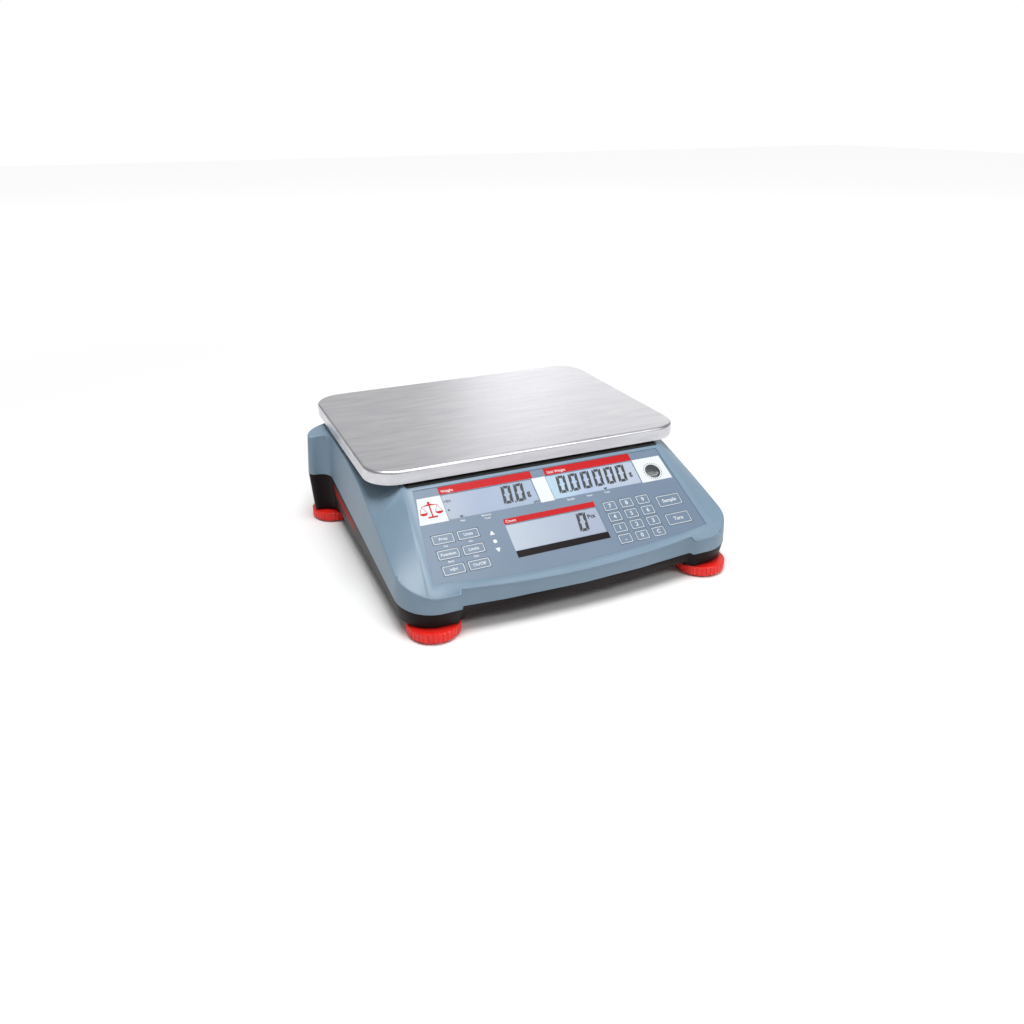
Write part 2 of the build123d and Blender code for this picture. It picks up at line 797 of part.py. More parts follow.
def power_inlet():
    """Barrel socket with its centre pin, facing the rear."""
    face_y = rear_bow_y - 3.6
    body = socket_bar(jack_x, face_y - 20, face_y, jack_radius)
    bore = socket_bar(jack_x, face_y - jack_bore_depth, face_y + 1, jack_bore)
    pin = socket_bar(jack_x, face_y - jack_bore_depth - 0.5, face_y - 1.5, jack_pin)
    return body - bore + pin


def socket_bar(x, start, end, radius):
    return Pos(x, (start + end) / 2, socket_z) * Rot(90, 0, 0) * Cylinder(radius, end - start)


def data_port():
    """Nine-pin serial socket: shell, insulator with its pin holes, and flange inside the wall."""
    face_y = rear_bow_y + 0.6
    flange_y = rear_bow_y - 12.0
    shell = block_at((port_x - port_width / 2, flange_y, socket_z - port_height / 2),
                     (port_x + port_width / 2, face_y, socket_z + port_height / 2))
    shell = fillet(shell.edges().filter_by(Axis.Y), 2.0)
    flange = block_at((port_x - port_flange / 2, flange_y - 6, socket_z - 6.2),
                      (port_x + port_flange / 2, flange_y + 0.2, socket_z + 6.2))
    port = shell + flange
    for row, count in ((1.42, 5), (-1.42, 4)):
        for n in range(count):
            x = port_x + (n - (count - 1) / 2) * 2.77
            port = port - Pos(x, face_y - 3, socket_z + row) * Rot(90, 0, 0) * Cylinder(0.55, 7)
    for side in (-1, 1):
        port = port - socket_bar(port_x + side * port_spacing / 2, flange_y - 8, flange_y + 2, 1.6)
    return port


def port_jackscrews():
    """Hexagonal jackscrews either side of the serial socket."""
    screws = []
    start = rear_bow_y - 11.8
    end = rear_bow_y + 1.0
    for side in (-1, 1):
        x = port_x + side * port_spacing / 2
        hexagon = extrude(RegularPolygon(jackscrew_radius, 6), end - start)
        post = Pos(x, start, socket_z) * Rot(-90, 0, 0) * hexagon
        shank = socket_bar(x, start - 5.8, start + 0.3, 1.5)
        screws.append(post + shank - socket_bar(x, end - 5, end + 1, jackscrew_bore))
    return Compound(children=screws)


def save(name, shape):
    export_step(shape, f"parts/{name}.step")


def build_case():
    save("base", base())
    save("upper_housing", upper_housing())
    save("case_screws", case_screws())
    save("battery_cover", battery_cover())
    save("battery_cover_screws", battery_cover_screws())
    save("foot_inserts", foot_inserts())


def build_feet():
    for name, (x, y) in foot_spots.items():
        save(f"foot_wheel_{name}", foot_wheel(x, y))
        save(f"foot_pad_{name}", foot_pad(x, y))


def build_weighing():
    save("weighing_pan", weighing_pan())
    save("pan_platform", pan_platform())
    save("pan_cushions", pan_cushions())
    save("load_cell", load_cell())
    save("cell_mount", cell_mount())
    save("live_spacer", live_spacer())
    save("cell_screws", cell_screws())
    save("overload_stops", overload_stops())


def build_panel():
    save("panel_film", panel_film())
    for name, (spot, size) in key_grid().items():
        save(name, key(spot, size))
    save("tact_switches", tact_switches())
    save("keypad_board", keypad_board())
    save("display_lenses", display_lenses())
    for name, window in windows.items():
        save(f"lcd_{name}", lcd(window))
    save("display_backlights", display_backlights())
    save("level_cup", level_cup())
    save("level_liquid", level_liquid())
    save("level_glass", level_glass())
    save("level_window", level_window())


def build_electronics():
    save("main_circuit_board", main_circuit_board())
    save("battery_pack", battery_pack())
    save("power_inlet", power_inlet())
    save("data_port", data_port())
    save("port_jackscrews", port_jackscrews())


build_case()
build_feet()
build_weighing()
build_panel()
build_electronics()
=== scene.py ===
import bmesh
import bpy
import json
import math
from mathutils import Matrix, Vector


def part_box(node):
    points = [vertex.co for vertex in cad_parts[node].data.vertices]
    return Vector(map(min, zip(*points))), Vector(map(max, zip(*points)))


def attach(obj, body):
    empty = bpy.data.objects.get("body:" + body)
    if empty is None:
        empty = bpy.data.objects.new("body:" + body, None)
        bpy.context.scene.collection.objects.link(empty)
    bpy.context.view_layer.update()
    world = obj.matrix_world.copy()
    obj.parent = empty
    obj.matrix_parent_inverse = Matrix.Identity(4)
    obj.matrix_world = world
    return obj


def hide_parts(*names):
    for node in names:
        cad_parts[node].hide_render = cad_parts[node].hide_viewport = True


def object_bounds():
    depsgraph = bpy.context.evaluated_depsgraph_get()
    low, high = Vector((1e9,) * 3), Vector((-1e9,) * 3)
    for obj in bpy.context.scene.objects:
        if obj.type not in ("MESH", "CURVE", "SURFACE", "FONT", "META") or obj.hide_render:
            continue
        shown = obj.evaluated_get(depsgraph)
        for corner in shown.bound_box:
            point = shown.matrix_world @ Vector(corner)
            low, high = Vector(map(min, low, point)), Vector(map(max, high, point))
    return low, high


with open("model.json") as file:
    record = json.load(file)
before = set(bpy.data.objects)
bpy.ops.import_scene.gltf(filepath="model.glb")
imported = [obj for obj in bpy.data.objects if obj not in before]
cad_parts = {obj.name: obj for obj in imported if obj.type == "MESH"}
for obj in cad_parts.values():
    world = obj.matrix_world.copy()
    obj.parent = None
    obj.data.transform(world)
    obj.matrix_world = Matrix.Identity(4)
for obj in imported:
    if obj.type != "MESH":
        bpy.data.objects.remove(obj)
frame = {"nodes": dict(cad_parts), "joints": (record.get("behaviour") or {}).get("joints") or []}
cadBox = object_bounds()
nodes = frame["nodes"]
mm = 0.001
print("frame loaded:", len(nodes), "parts")


def linearColour(hexCode):
    channels = [int(hexCode[i:i + 2], 16) / 255 for i in (0, 2, 4)]
    return tuple(c / 12.92 if c <= 0.04045 else ((c + 0.055) / 1.055) ** 2.4 for c in channels) + (1.0,)


def perMetre(millimetres):
    return 1000.0 / millimetres   # repeats per metre for a feature of this size


def addNode(tree, kind, place, settings=None, inputs=None, stops=None):
    node = tree.nodes.new(kind)
    node.location = place
    for key, value in (settings or {}).items():
        setattr(node, key, value)
    for key, value in (inputs or {}).items():
        if isinstance(value, bpy.types.NodeSocket):
            tree.links.new(value, node.inputs[key])
        else:
            node.inputs[key].default_value = value
    for index, (spot, hexCode) in enumerate(stops or []):
        elements = node.color_ramp.elements
        element = elements[index] if index < 2 else elements.new(spot)
        element.position, element.color = spot, linearColour(hexCode)
    return node


def newMaterial(name, shaderValues):
    material = bpy.data.materials.new(name)
    material.use_nodes = True
    tree = material.node_tree
    shader = tree.nodes["Principled BSDF"]
    for key, value in shaderValues.items():
        shader.inputs[key].default_value = value
    position = addNode(tree, "ShaderNodeTexCoord", (-1200, 0)).outputs["Object"]
    return material, tree, shader, position


# Sizes in millimetres that several finishes share
finishSizes = {"grainDepth": 0.1, "brushDepth": 0.05, "smear": 9.0, "cloud": 14.0}


# One noise drives tone, a second drives roughness and relief.
# The finishes made by it differ in colours, scales and shader values.
def grainyFinish(name, recipe):
    material, tree, shader, position = newMaterial(name, recipe.get("shader", {}))
    tone = addNode(tree, "ShaderNodeTexNoise", (-900, 300), inputs={
        "Vector": position, "Scale": perMetre(recipe["toneMm"]), "Detail": 3.0, "Roughness": 0.55})
    ramp = addNode(tree, "ShaderNodeValToRGB", (-600, 300), inputs={"Fac": tone.outputs["Fac"]},
                   stops=[(0.3, recipe["dark"]), (0.7, recipe["light"])])
    tree.links.new(ramp.outputs["Color"], shader.inputs["Base Color"])
    grain = addNode(tree, "ShaderNodeTexNoise", (-900, 0), inputs={
        "Vector": position, "Scale": perMetre(recipe["grainMm"]), "Detail": 2.0, "Roughness": 0.5})
    rough = addNode(tree, "ShaderNodeMapRange", (-600, 0), inputs={
        "Value": grain.outputs["Fac"], "To Min": recipe["rough"][0], "To Max": recipe["rough"][1]})
    tree.links.new(rough.outputs["Result"], shader.inputs["Roughness"])
    bump = addNode(tree, "ShaderNodeBump", (-300, -250), inputs={
        "Height": grain.outputs["Fac"], "Strength": recipe["bump"],
        "Distance": finishSizes["grainDepth"] * mm})
    tree.links.new(bump.outputs["Normal"], shader.inputs["Normal"])
    return material


# Long-grain brushed stainless: fine scratches all run across the pan,
# so reflections smear into soft bands
def brushedStainless(name, recipe):
    material, tree, shader, position = newMaterial(name, {"Metallic": 1.0})
    fine = addNode(tree, "ShaderNodeMapping", (-1000, 200), inputs={
        "Vector": position,
        "Scale": (perMetre(recipe["strokeMm"]), perMetre(recipe["lineMm"]), perMetre(recipe["lineMm"]))})
    lines = addNode(tree, "ShaderNodeTexNoise", (-800, 200), inputs={
        "Vector": fine.outputs["Vector"], "Scale": 1.0, "Detail": 4.0, "Roughness": 0.65})
    wide = addNode(tree, "ShaderNodeMapping", (-1000, -100), inputs={
        "Vector": position,
        "Scale": (perMetre(recipe["cloudMm"]), perMetre(recipe["bandMm"]), perMetre(recipe["bandMm"]))})
    bands = addNode(tree, "ShaderNodeTexNoise", (-800, -100), inputs={
        "Vector": wide.outputs["Vector"], "Scale": 1.0, "Detail": 4.0, "Roughness": 0.6})
    ramp = addNode(tree, "ShaderNodeValToRGB", (-550, -100), inputs={"Fac": bands.outputs["Fac"]},
                   stops=[(0.3, recipe["dark"]), (0.7, recipe["light"])])
    tree.links.new(ramp.outputs["Color"], shader.inputs["Base Color"])
    both = addNode(tree, "ShaderNodeMath", (-600, 250), {"operation": "MULTIPLY_ADD"}, {
        0: bands.outputs["Fac"], 1: recipe["bandShare"], 2: lines.outputs["Fac"]})
    rough = addNode(tree, "ShaderNodeMapRange", (-400, 250), inputs={
        "Value": both.outputs["Value"], "From Min": recipe["mixed"][0], "From Max": recipe["mixed"][1],
        "To Min": recipe["rough"][0], "To Max": recipe["rough"][1]})
    tree.links.new(rough.outputs["Result"], shader.inputs["Roughness"])
    bump = addNode(tree, "ShaderNodeBump", (-300, -350), inputs={
        "Height": lines.outputs["Fac"], "Strength": recipe["bump"],
        "Distance": finishSizes["brushDepth"] * mm})
    tree.links.new(bump.outputs["Normal"], shader.inputs["Normal"])
    return material


# Clear polished sheet: it shows the display behind it and keeps a thin surface gloss
def clearSheet(name, recipe):
    material, tree, shader, position = newMaterial(name, {
        "IOR": recipe["ior"], "Alpha": recipe["alpha"], "Base Color": linearColour(recipe["tint"])})
    smear = addNode(tree, "ShaderNodeTexNoise", (-900, 0), inputs={
        "Vector": position, "Scale": perMetre(finishSizes["smear"]), "Detail": 4.0})
    rough = addNode(tree, "ShaderNodeMapRange", (-600, 0), inputs={
        "Value": smear.outputs["Fac"], "To Min": recipe["rough"][0], "To Max": recipe["rough"][1]})
    tree.links.new(rough.outputs["Result"], shader.inputs["Roughness"])
    return material


# Liquid crystal glass over a silvered back: cool grey that drifts to blue or green along its length.
# The colour stops are both ends first, then the middle.
def displayGlass(name, low, high, stops, cloudShare=0.25):
    material, tree, shader, position = newMaterial(name, {"IOR": 1.52, "Roughness": 0.3})
    place = addNode(tree, "ShaderNodeSeparateXYZ", (-1000, 200), inputs={"Vector": position})
    across = addNode(tree, "ShaderNodeMapRange", (-800, 200), inputs={
        "Value": place.outputs["X"], "From Min": low, "From Max": high})
    cloud = addNode(tree, "ShaderNodeTexNoise", (-1000, -100), inputs={
        "Vector": position, "Scale": perMetre(finishSizes["cloud"]), "Detail": 2.0})
    both = addNode(tree, "ShaderNodeMath", (-620, 100), {"operation": "MULTIPLY_ADD"}, {
        0: cloud.outputs["Fac"], 1: cloudShare, 2: across.outputs["Result"]})
    ramp = addNode(tree, "ShaderNodeValToRGB", (-450, 100), inputs={"Fac": both.outputs["Value"]},
                   stops=stops)
    tree.links.new(ramp.outputs["Color"], shader.inputs["Base Color"])
    return material


# Moulded plastics carry a spark-eroded grain that breaks the highlight. It is drawn about 1 mm wide,
# coarser than the real 0.1 mm, so that it shows at arm's length.
finishes = {
    "housing": grainyFinish("moulded ABS blue grey", {
        "shader": {"IOR": 1.53}, "dark": "71889a", "light": "798fa2", "toneMm": 60, "grainMm": 0.9,
        "rough": (0.40, 0.50), "bump": 0.10}),
    "base": grainyFinish("moulded ABS black", {
        "shader": {"IOR": 1.53, "Specular IOR Level": 0.3, "Specular Tint": (0.14, 0.14, 0.14, 1.0)},
        "dark": "1b1516", "light": "231c1d", "toneMm": 50, "grainMm": 0.9,
        "rough": (0.42, 0.54), "bump": 0.14}),
    "film": grainyFinish("velvet polyester film blue grey", {
        "shader": {"IOR": 1.57}, "dark": "63768b", "light": "697b90", "toneMm": 40, "grainMm": 0.6,
        "rough": (0.46, 0.54), "bump": 0.05}),
    "foot": grainyFinish("moulded acetal red", {
        "shader": {"IOR": 1.48}, "dark": "e8211a", "light": "f22b22", "toneMm": 12, "grainMm": 1.1,
        "rough": (0.32, 0.42), "bump": 0.10}),
    "rubber": grainyFinish("moulded rubber black", {
        "shader": {"IOR": 1.5}, "dark": "141414", "light": "1d1d1d", "toneMm": 10, "grainMm": 0.7,
        "rough": (0.65, 0.8), "bump": 0.25}),
    "nylon": grainyFinish("moulded nylon black", {
        "shader": {"IOR": 1.53}, "dark": "17181a", "light": "202226", "toneMm": 8, "grainMm": 0.6,
        "rough": (0.4, 0.5), "bump": 0.1}),
    "lightGuide": grainyFinish("moulded acrylic white", {
        "shader": {"IOR": 1.49}, "dark": "dfe3e6", "light": "eef1f2", "toneMm": 20, "grainMm": 1.0,
        "rough": (0.25, 0.35), "bump": 0.03}),
    "board": grainyFinish("solder masked laminate green", {
        "shader": {"IOR": 1.55}, "dark": "0c4a2a", "light": "125c35", "toneMm": 6, "grainMm": 1.4,
        "rough": (0.25, 0.4), "bump": 0.06}),
    "shrink": grainyFinish("shrunk vinyl sleeve charcoal", {
        "shader": {"IOR": 1.54}, "dark": "26282c", "light": "303338", "toneMm": 14, "grainMm": 3.0,
        "rough": (0.3, 0.42), "bump": 0.12}),
    "cup": grainyFinish("moulded styrene pale grey", {
        "shader": {"IOR": 1.58}, "dark": "8f999b", "light": "a1aaab", "toneMm": 8, "grainMm": 1.0,
        "rough": (0.2, 0.3), "bump": 0.02}),
    "pan": brushedStainless("brushed stainless sheet", {
        "dark": "c3c3c8", "light": "d8d8db", "strokeMm": 60, "cloudMm": 45, "lineMm": 0.8, "bandMm": 7,
        "bandShare": 0.6, "mixed": (0.5, 1.1), "rough": (0.27, 0.44), "bump": 0.25}),
    # Cast skin is dull and pitted, machined and anodised skin is even and silky
    "cast": grainyFinish("die cast aluminium", {
        "shader": {"Metallic": 1.0}, "dark": "8d9093", "light": "a4a7aa", "toneMm": 1.2, "grainMm": 1.2,
        "rough": (0.45, 0.6), "bump": 0.3}),
    "machined": grainyFinish("machined anodised aluminium", {
        "shader": {"Metallic": 1.0}, "dark": "b4b8bb", "light": "c5c9cc", "toneMm": 2.0, "grainMm": 0.5,
        "rough": (0.28, 0.38), "bump": 0.08}),
    "screw": grainyFinish("zinc plated steel", {
        "shader": {"Metallic": 1.0}, "dark": "8f9193", "light": "b3b5b6", "toneMm": 0.8, "grainMm": 0.7,
        "rough": (0.25, 0.4), "bump": 0.1}),
    "brass": grainyFinish("turned brass", {
        "shader": {"Metallic": 1.0}, "dark": "a8863f", "light": "c29d50", "toneMm": 1.5, "grainMm": 0.6,
        "rough": (0.25, 0.35), "bump": 0.08}),
    # Screen-printed inks lie nearly flat, with a faint mottle left by the mesh
    "inkWhite": grainyFinish("screen printed ink white", {
        "shader": {"IOR": 1.5, "Specular IOR Level": 0.3}, "dark": "cfd4d6", "light": "d7dbdd",
        "toneMm": 0.8, "grainMm": 0.5, "rough": (0.45, 0.55), "bump": 0.03}),
    "inkRed": grainyFinish("screen printed ink red", {
        "shader": {"IOR": 1.5, "Specular IOR Level": 0.16}, "dark": "b0161b", "light": "bb1c21",
        "toneMm": 1.2, "grainMm": 0.5, "rough": (0.42, 0.52), "bump": 0.03}),
    "inkBlack": grainyFinish("screen printed ink black", {
        "shader": {"IOR": 1.5, "Specular IOR Level": 0.14}, "dark": "160f12", "light": "1c1417",
        "toneMm": 1.2, "grainMm": 0.5, "rough": (0.42, 0.52), "bump": 0.03}),
    "segment": grainyFinish("switched liquid crystal black", {
        "shader": {"IOR": 1.52, "Specular IOR Level": 0.2}, "dark": "0b0d11", "light": "12151a",
        "toneMm": 2.0, "grainMm": 1.0, "rough": (0.3, 0.36), "bump": 0.01}),
    "window": clearSheet("clear polyester window", {
        "ior": 1.5, "alpha": 0.04, "tint": "e8eef2", "rough": (0.10, 0.18)}),
    "vialGlass": clearSheet("clear acrylic lid", {
        "ior": 1.49, "alpha": 0.15, "tint": "dfe6e4", "rough": (0.05, 0.1)}),
    "liquid": clearSheet("tinted level liquid", {
        "ior": 1.37, "alpha": 0.8, "tint": "55645c", "rough": (0.05, 0.1)}),
}
print("materials ready:", len(finishes))


def paint(name, material):
    nodes[name].data.materials.clear()
    nodes[name].data.materials.append(material)


# Which finish each part carries
partFinishes = {
    "base": ["battery_cover"],
    "film": ["panel_film"] + [name for name in nodes if name.startswith("key_")],
    "foot": [name for name in nodes if name.startswith("foot_wheel")],
    "rubber": ["pan_cushions"] + [name for name in nodes if name.startswith("foot_pad")],
    "nylon": ["tact_switches", "power_inlet"],
    "lightGuide": ["display_backlights"],
    "board": ["keypad_board", "main_circuit_board"],
    "shrink": ["battery_pack"],
    "cup": ["level_cup"],
    "pan": ["weighing_pan"],
    "cast": ["pan_platform", "cell_mount"],
    "machined": ["load_cell", "live_spacer"],
    "screw": ["case_screws", "battery_cover_screws", "cell_screws", "overload_stops", "data_port",
              "port_jackscrews"],
    "brass": ["foot_inserts"],
    "window": ["display_lenses", "level_window"],
    "vialGlass": ["level_glass"],
    "liquid": ["level_liquid"],
}
for finish, names in partFinishes.items():
    for name in names:
        paint(name, finishes[finish])
displayStops = {
    "lcd_weight": [(0.0, "8d9aa8"), (1.0, "95a5bc"), (0.5, "8b99b4")],
    "lcd_unit_weight": [(0.0, "a9cad5"), (1.0, "a8b4c5"), (0.5, "a0afcb")],
    "lcd_count": [(0.0, "b0bbc8"), (1.0, "97a2b8"), (0.5, "a3adbd")],
}
for name, stops in displayStops.items():
    low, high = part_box(name)
    paint(name, displayGlass("liquid crystal glass " + name[4:], low.x, high.x, stops))
print("parts painted")


def placed(name, data):
    made = bpy.data.objects.new(name, data)
    bpy.context.scene.collection.objects.link(made)
    return made


def newPiece(name, mesh, finish, body):
    piece = placed(name, mesh)
    mesh.materials.clear()
    mesh.materials.append(finishes[finish])
    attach(piece, body)
    return piece


# Panel frame: u runs right, v up the slope and w out of the film's face, all in millimetres
pressAxis = next(joint for joint in frame["joints"] if joint["name"] == "press_7")["axis"]
panelOut = -Vector(pressAxis).normalized()
panelUp = panelOut.cross(Vector((1, 0, 0)))
filmPoints = [vertex.co for vertex in nodes["panel_film"].data.vertices]
filmTop = 44.5   # v at the film's upper edge
faceHeight = max(point.dot(panelOut) for point in filmPoints)
filmEdge = max(point.dot(panelUp) for point in filmPoints)
panelStart = panelUp * (filmEdge - filmTop * mm) + panelOut * faceHeight
panelToWorld = Matrix.Translation(panelStart) @ Matrix(
    (Vector((1, 0, 0)), panelUp, panelOut)).transposed().to_4x4() @ Matrix.Scale(mm, 4)
print("panel slope", round(math.degrees(math.asin(panelUp.z)), 1), "degrees")

# Case mouldings: the same shells as the frame's, with the tool's edge radii put on.
# Lengths are in millimetres and turns in degrees.
moulding = {
    "shoulderRadius": 1.1, "shoulderSegments": 4, "shoulderTurn": 20,
    "lipRadius": 0.35, "lipSegments": 2, "lipTurn": 60, "footRadius": 1.6, "footSegments": 3,
    "merge": 0.02, "flat": 2.5, "shortest": 0.8, "mergeAbove": 1.0, "foldTurn": 100, "foldReach": 0.5,
    "smoothTo": 24,
}
# Faces of the outer wall lie past these places, and are this steep (the upright part of their normal)
outerWall = {"side": 120, "front": -148, "back": 115, "legSide": 152, "legFront": 80, "steep": 0.35}
level = 0.9   # a face counts as level when its normal is this upright


def mergedShape(source, flat):
    shape = bmesh.new()
    shape.from_mesh(nodes[source].data)
    bmesh.ops.remove_doubles(shape, verts=shape.verts, dist=moulding["merge"] * mm)
    bmesh.ops.dissolve_limit(shape, angle_limit=math.radians(flat), verts=shape.verts, edges=shape.edges)
    shape.normal_update()
    return shape


def turnOf(edge):
    return math.degrees(edge.calc_face_angle_signed(0.0))


def outwardWall(face, centre):
    spot = face.calc_center_median()
    middle = spot - centre
    nearOutline = (abs(spot.x) > outerWall["side"] * mm or spot.y < outerWall["front"] * mm
                   or spot.y > outerWall["back"] * mm)
    legFront = (face.normal.y < -0.3 and abs(spot.x) > outerWall["legSide"] * mm
                and spot.y > outerWall["legFront"] * mm)
    facesOut = face.normal.x * middle.x + face.normal.y * middle.y > 0
    return abs(face.normal.z) < outerWall["steep"] and nearOutline and (facesOut or legFront)


def roundedMoulding(source, name, finish, edgeGroups):
    shape = mergedShape(source, moulding["flat"])
    low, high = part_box(source)
    centre = (low + high) / 2

    def chosenEdges(wanted):
        return [edge for edge in shape.edges if len(edge.link_faces) == 2
                and wanted(edge, edge.link_faces[0], edge.link_faces[1], centre)]

    for radius, segments, wanted in edgeGroups:
        if radius > moulding["mergeAbove"]:   # edges too short for the radius are merged first
            ends = {vertex for edge in chosenEdges(wanted) for vertex in edge.verts}
            bmesh.ops.remove_doubles(shape, verts=list(ends), dist=moulding["shortest"] * mm)
            shape.normal_update()
        chosen = chosenEdges(wanted)
        made = bmesh.ops.bevel(shape, geom=chosen, offset=radius * mm, offset_type="OFFSET",
                               segments=segments, profile=0.5, affect="EDGES", clamp_overlap=False)
        shape.normal_update()
        # The bevel may leave a fold where edges meet, and its points are drawn together
        folds = {vertex for face in made["faces"] for edge in face.edges if len(edge.link_faces) == 2
                 and abs(turnOf(edge)) > moulding["foldTurn"] for vertex in edge.verts}
        bmesh.ops.remove_doubles(shape, verts=list(folds), dist=moulding["foldReach"] * mm)
        shape.normal_update()
        print(name, "rounded", len(chosen), "edges at", radius, "mm")
    mesh = bpy.data.meshes.new(name)
    bmesh.ops.triangulate(shape, faces=[face for face in shape.faces if len(face.verts) > 4])
    shape.to_mesh(mesh)
    shape.free()
    mesh.shade_smooth()
    mesh.set_sharp_from_angle(angle=math.radians(moulding["smoothTo"]))
    piece = newPiece(name, mesh, finish, "case")
    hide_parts(source)
    return piece


def shoulderEdge(edge, first, second, centre):
    wall, roof = sorted((first, second), key=lambda face: face.normal.z)
    return (turnOf(edge) > moulding["shoulderTurn"] and outwardWall(wall, centre)
            and roof.normal.z > outerWall["steep"])


def lipEdge(edge, first, second, centre):
    under, wall = sorted((first, second), key=lambda face: face.normal.z)
    return turnOf(edge) > moulding["lipTurn"] and outwardWall(wall, centre) and under.normal.z < -level


def upperLipEdge(edge, first, second, centre):
    wall, upper = sorted((first, second), key=lambda face: face.normal.z)
    return turnOf(edge) > moulding["lipTurn"] and outwardWall(wall, centre) and upper.normal.z > level


roundedMoulding("upper_housing", "housing_shell", "housing", [
    (moulding["shoulderRadius"], moulding["shoulderSegments"], shoulderEdge),
    (moulding["lipRadius"], moulding["lipSegments"], lipEdge)])
baseShell = roundedMoulding("base", "base_shell", "base", [
    (moulding["footRadius"], moulding["footSegments"], lipEdge),
    (moulding["lipRadius"], moulding["lipSegments"], upperLipEdge)])


# The ridge round the keypad border: a fine bead follows the mesh edges where the border turns down.
# Its ends at the crest are sunk deeper, so that no cut end shows.
ridge = {"radius": 1.1, "sunk": 0.75, "endSunk": 1.6, "crestReach": 1.0, "sides": 10,
         "borderStart": -51.6, "topGap": 1.0, "minimumTurn": 8, "flat": 1.0, "flush": 0.999, "gentle": 0.5}


def ridgeEdges(shape):
    for edge in shape.edges:
        if len(edge.link_faces) != 2 or turnOf(edge) < ridge["minimumTurn"]:
            continue
        low, high = sorted(edge.link_faces, key=lambda face: face.normal.dot(panelOut))
        middle = (edge.verts[0].co + edge.verts[1].co) / 2
        along = (panelToWorld.inverted() @ middle).y
        outside = low.normal.dot(panelOut) > ridge["gentle"] or along < ridge["borderStart"]
        below = along < filmTop - ridge["topGap"]
        if high.normal.dot(panelOut) > ridge["flush"] and outside and below:
            yield edge, (low.normal + high.normal).normalized()


def newTree(name, sockets):
    tree = bpy.data.node_groups.new(name, "GeometryNodeTree")
    for label, kind in sockets.items():
        tree.interface.new_socket(label, in_out="INPUT", socket_type="NodeSocket" + kind)
    tree.interface.new_socket("Geometry", in_out="OUTPUT", socket_type="NodeSocketGeometry")
    return tree, addNode(tree, "NodeGroupInput", (-900, 0)).outputs


# Every tree ends the same way: copies made real, the finish put on, the result handed out
def endTree(tree, geometry, finish):
    solid = addNode(tree, "GeometryNodeRealizeInstances", (-200, 0), inputs={"Geometry": geometry})
    painted = addNode(tree, "GeometryNodeSetMaterial", (0, 0), inputs={
        "Geometry": solid.outputs["Geometry"], "Material": finish})
    addNode(tree, "NodeGroupOutput", (200, 0), inputs={"Geometry": painted.outputs["Geometry"]})
    return tree


def beadTree():
    tree, given = newTree("bead along edges", {
        "Path": "Geometry", "Radius": "Float", "Sides": "Int", "Finish": "Material"})
    line = addNode(tree, "GeometryNodeMeshToCurve", (-650, 100), inputs={"Mesh": given["Path"]})
    ring = addNode(tree, "GeometryNodeCurvePrimitiveCircle", (-650, -100), inputs={
        "Resolution": given["Sides"], "Radius": given["Radius"]})
    bead = addNode(tree, "GeometryNodeCurveToMesh", (-400, 0), inputs={
        "Curve": line.outputs["Curve"], "Profile Curve": ring.outputs["Curve"], "Fill Caps": True})
    return endTree(tree, bead.outputs["Mesh"], given["Finish"])


def evaluatedMesh(source, tree, values):
    holder = placed("holder", source)
    modifier = holder.modifiers.new("made", "NODES")
    modifier.node_group = tree
    for item in tree.interface.items_tree:
        if item.in_out == "INPUT" and item.name in values:
            modifier[item.identifier] = values[item.name]
    made = bpy.data.meshes.new_from_object(holder.evaluated_get(bpy.context.evaluated_depsgraph_get()))
    bpy.data.objects.remove(holder)
    return made


housingShape = mergedShape("upper_housing", ridge["flat"])
ridgeOut = {}
ridgeLines = []
for edge, outwards in ridgeEdges(housingShape):
    ridgeLines.append(tuple(vertex.index for vertex in edge.verts))
    for vertex in edge.verts:
        ridgeOut.setdefault(vertex.index, []).append((vertex.co.copy(), outwards))
order = {index: place for place, index in enumerate(ridgeOut)}
crestY = max(spots[0][0].y for spots in ridgeOut.values())
ridgePoints = []
for spots in ridgeOut.values():
    outwards = sum((out for _, out in spots), Vector()).normalized()
    depth = ridge["endSunk"] if spots[0][0].y > crestY - ridge["crestReach"] * mm else ridge["sunk"]
    ridgePoints.append(spots[0][0] - outwards * depth * mm)
housingShape.free()
ridgePath = bpy.data.meshes.new("ridge path")
ridgePath.from_pydata(ridgePoints, [(order[first], order[second]) for first, second in ridgeLines], [])
ridgeMesh = evaluatedMesh(ridgePath, beadTree(), {
    "Radius": ridge["radius"] * mm, "Sides": ridge["sides"], "Finish": finishes["housing"]})
ridgeMesh.shade_smooth()
newPiece("housing_ridge", ridgeMesh, "housing", "case")
print("ridge laid along", len(ridgeLines), "edges")


def panelBox(name):
    points = [panelToWorld.inverted() @ vertex.co for vertex in nodes[name].data.vertices]
    return [f(point[axis] for point in points) for f in (min, max) for axis in range(3)]


def corners(u0, v0, u1, v1, lean=0.0):
    return [(u0, v0), (u1, v0), (u1 + lean, v1), (u0 + lean, v1)]


def rounded(u0, v0, u1, v1, radius, steps=5):
    loop = []
    for centreU, centreV, start in ((u1 - radius, v1 - radius, 0), (u0 + radius, v1 - radius, 90),
                                    (u0 + radius, v0 + radius, 180), (u1 - radius, v0 + radius, 270)):
        for step in range(steps + 1):
            angle = math.radians(start + 90 * step / steps)
            loop.append((centreU + radius * math.cos(angle), centreV + radius * math.sin(angle)))
    return loop


def disc(centreU, centreV, radius, steps=32):
    return [(centreU + radius * math.cos(2 * math.pi * step / steps),
             centreV + radius * math.sin(2 * math.pi * step / steps)) for step in range(steps)]


def outline(u0, v0, u1, v1, radius, width):
    return [rounded(u0, v0, u1, v1, radius),
            rounded(u0 + width, v0 + width, u1 - width, v1 - width, max(radius - width, 0.05))]


